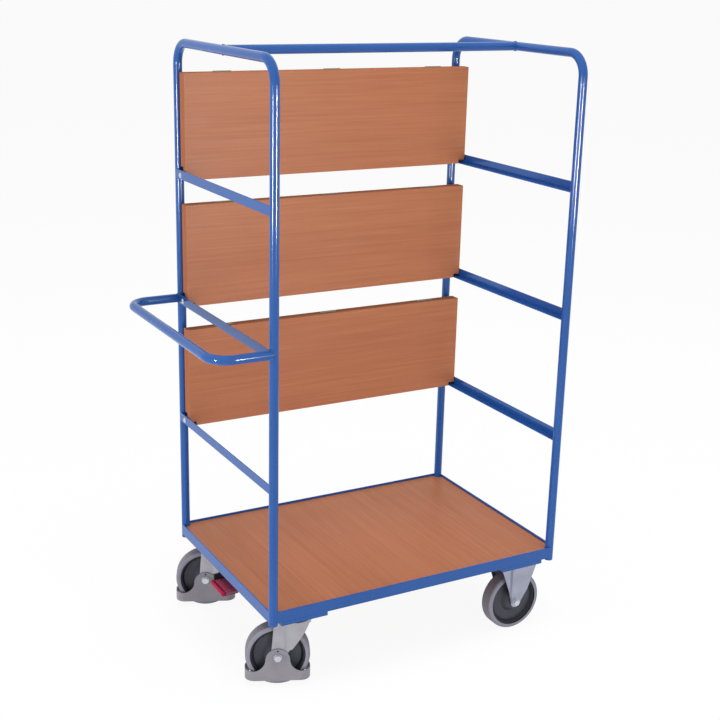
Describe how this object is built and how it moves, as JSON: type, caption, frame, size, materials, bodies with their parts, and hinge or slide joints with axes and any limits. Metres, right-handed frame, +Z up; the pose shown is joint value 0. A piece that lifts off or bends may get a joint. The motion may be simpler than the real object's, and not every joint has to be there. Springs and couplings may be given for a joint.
{
  "type": "shelf trolley",
  "caption": "Wheeled tube-frame shelf trolley with a loading deck, fold-away wooden shelves, a push handle and a foot-operated brake.",
  "frame": {"origin": "centre of the overall box, at floor level under the wheels", "axes": "+X along the trolley away from the push handle, +Y from the open front to the rear where the shelves fold up, +Z up"},
  "size_m": [1.234, 0.728, 1.904],
  "materials": {
    "blue_paint": "satin powder coat",
    "board": "satin beech-look laminate",
    "zinc": "zinc plated",
    "guard_grey": "satin grey coat",
    "tyre_grey": "matte grey rubber",
    "rim_dark": "matte dark grey",
    "pedal_red": "satin red",
    "arm_black": "satin black"
  },
  "bodies": {
    "frame": {"brake_shaft_hangers": "zinc", "castor_carrier_left": "blue_paint", "castor_carrier_right": "blue_paint", "castor_plate_bolts": "zinc", "deck_angle_front": "blue_paint", "deck_angle_left": "blue_paint", "deck_angle_rear": "blue_paint", "deck_angle_right": "blue_paint", "deck_board": "board", "fixed_axle_bolts": "zinc", "fixed_bracket_front": "zinc", "fixed_bracket_rear": "zinc", "kingpins": "zinc", "left_end_frame": "blue_paint", "push_handle": "blue_paint", "rail_left_lower": "blue_paint", "rail_left_middle": "blue_paint", "rail_left_upper": "blue_paint", "rail_right_lower": "blue_paint", "rail_right_middle": "blue_paint", "rail_right_upper": "blue_paint", "right_end_frame": "blue_paint", "shelf_pivot_bolts": "zinc", "shelf_pivot_bushes": "zinc", "swivel_plate_front": "zinc", "swivel_plate_rear": "zinc", "top_tie_tube": "blue_paint"},
    "swivel_front": {"swivel_fork_front": "zinc", "foot_guard_front": "guard_grey", "swivel_axle_front": "zinc"},
    "swivel_wheel_front": {"swivel_front_wheel_tyre": "tyre_grey", "swivel_front_wheel_rim": "rim_dark", "swivel_front_wheel_bearings": "zinc"},
    "fixed_wheel_front": {"fixed_front_wheel_tyre": "tyre_grey", "fixed_front_wheel_rim": "rim_dark", "fixed_front_wheel_bearings": "zinc"},
    "swivel_rear": {"swivel_fork_rear": "zinc", "foot_guard_rear": "guard_grey", "swivel_axle_rear": "zinc"},
    "swivel_wheel_rear": {"swivel_rear_wheel_tyre": "tyre_grey", "swivel_rear_wheel_rim": "rim_dark", "swivel_rear_wheel_bearings": "zinc"},
    "fixed_wheel_rear": {"fixed_rear_wheel_tyre": "tyre_grey", "fixed_rear_wheel_rim": "rim_dark", "fixed_rear_wheel_bearings": "zinc"},
    "brake": {"brake_pedal": "pedal_red", "brake_pedal_arms": "arm_black", "brake_shaft": "zinc"},
    "lower_shelf_rear": {"lower_shelf_rear_panel": "board", "lower_shelf_hinge_leaves_rear": "zinc"},
    "lower_shelf_front": {"lower_shelf_front_panel": "board", "lower_shelf_hinge_leaves_front": "zinc"},
    "middle_shelf_rear": {"middle_shelf_rear_panel": "board", "middle_shelf_hinge_leaves_rear": "zinc"},
    "middle_shelf_front": {"middle_shelf_front_panel": "board", "middle_shelf_hinge_leaves_front": "zinc"},
    "upper_shelf_rear": {"upper_shelf_rear_panel": "board", "upper_shelf_hinge_leaves_rear": "zinc"},
    "upper_shelf_front": {"upper_shelf_front_panel": "board", "upper_shelf_hinge_leaves_front": "zinc"}
  },
  "joints": [
    {"name": "swivel_front_turn", "type": "hinge", "parent": "frame", "child": "swivel_front", "pos_m": [-0.327, -0.303, 0.2], "axis": [0, 0, 1], "continuous": true},
    {"name": "swivel_rear_turn", "type": "hinge", "parent": "frame", "child": "swivel_rear", "pos_m": [-0.327, 0.273, 0.2], "axis": [0, 0, 1], "continuous": true},
    {"name": "swivel_front_roll", "type": "hinge", "parent": "swivel_front", "child": "swivel_wheel_front", "pos_m": [-0.3745, -0.28185, 0.1], "axis": [0.4067, 0.9135, 0], "continuous": true},
    {"name": "swivel_rear_roll", "type": "hinge", "parent": "swivel_rear", "child": "swivel_wheel_rear", "pos_m": [-0.3745, 0.29415, 0.1], "axis": [0.4067, 0.9135, 0], "continuous": true},
    {"name": "fixed_front_roll", "type": "hinge", "parent": "frame", "child": "fixed_wheel_front", "pos_m": [0.477, -0.311, 0.1], "axis": [0, 1, 0], "continuous": true},
    {"name": "fixed_rear_roll", "type": "hinge", "parent": "frame", "child": "fixed_wheel_rear", "pos_m": [0.477, 0.311, 0.1], "axis": [0, 1, 0], "continuous": true},
    {"name": "lower_shelf_swing", "type": "hinge", "parent": "frame", "child": "lower_shelf_rear", "pos_m": [0.088, 0.308, 0.6732], "axis": [1, 0, 0], "range_deg": [0, 90]},
    {"name": "lower_shelf_fold", "type": "hinge", "parent": "lower_shelf_rear", "child": "lower_shelf_front", "pos_m": [0.088, 0.29825, 0.9897], "axis": [1, 0, 0], "range_deg": [-180, 0]},
    {"name": "middle_shelf_swing", "type": "hinge", "parent": "frame", "child": "middle_shelf_rear", "pos_m": [0.088, 0.308, 1.0799], "axis": [1, 0, 0], "range_deg": [0, 90]},
    {"name": "middle_shelf_fold", "type": "hinge", "parent": "middle_shelf_rear", "child": "middle_shelf_front", "pos_m": [0.088, 0.29825, 1.3964], "axis": [1, 0, 0], "range_deg": [-180, 0]},
    {"name": "upper_shelf_swing", "type": "hinge", "parent": "frame", "child": "upper_shelf_rear", "pos_m": [0.088, 0.308, 1.4866], "axis": [1, 0, 0], "range_deg": [0, 90]},
    {"name": "upper_shelf_fold", "type": "hinge", "parent": "upper_shelf_rear", "child": "upper_shelf_front", "pos_m": [0.088, 0.29825, 1.8031], "axis": [1, 0, 0], "range_deg": [-180, 0]},
    {"name": "brake_press", "type": "hinge", "parent": "frame", "child": "brake", "pos_m": [-0.387, 0, 0.223], "axis": [0, -1, 0], "range_deg": [0, 18]}
  ],
  "couplings": [
    {"joint": "lower_shelf_fold", "follows": "lower_shelf_swing", "ratio": -2},
    {"joint": "middle_shelf_fold", "follows": "middle_shelf_swing", "ratio": -2},
    {"joint": "upper_shelf_fold", "follows": "upper_shelf_swing", "ratio": -2}
  ]
}
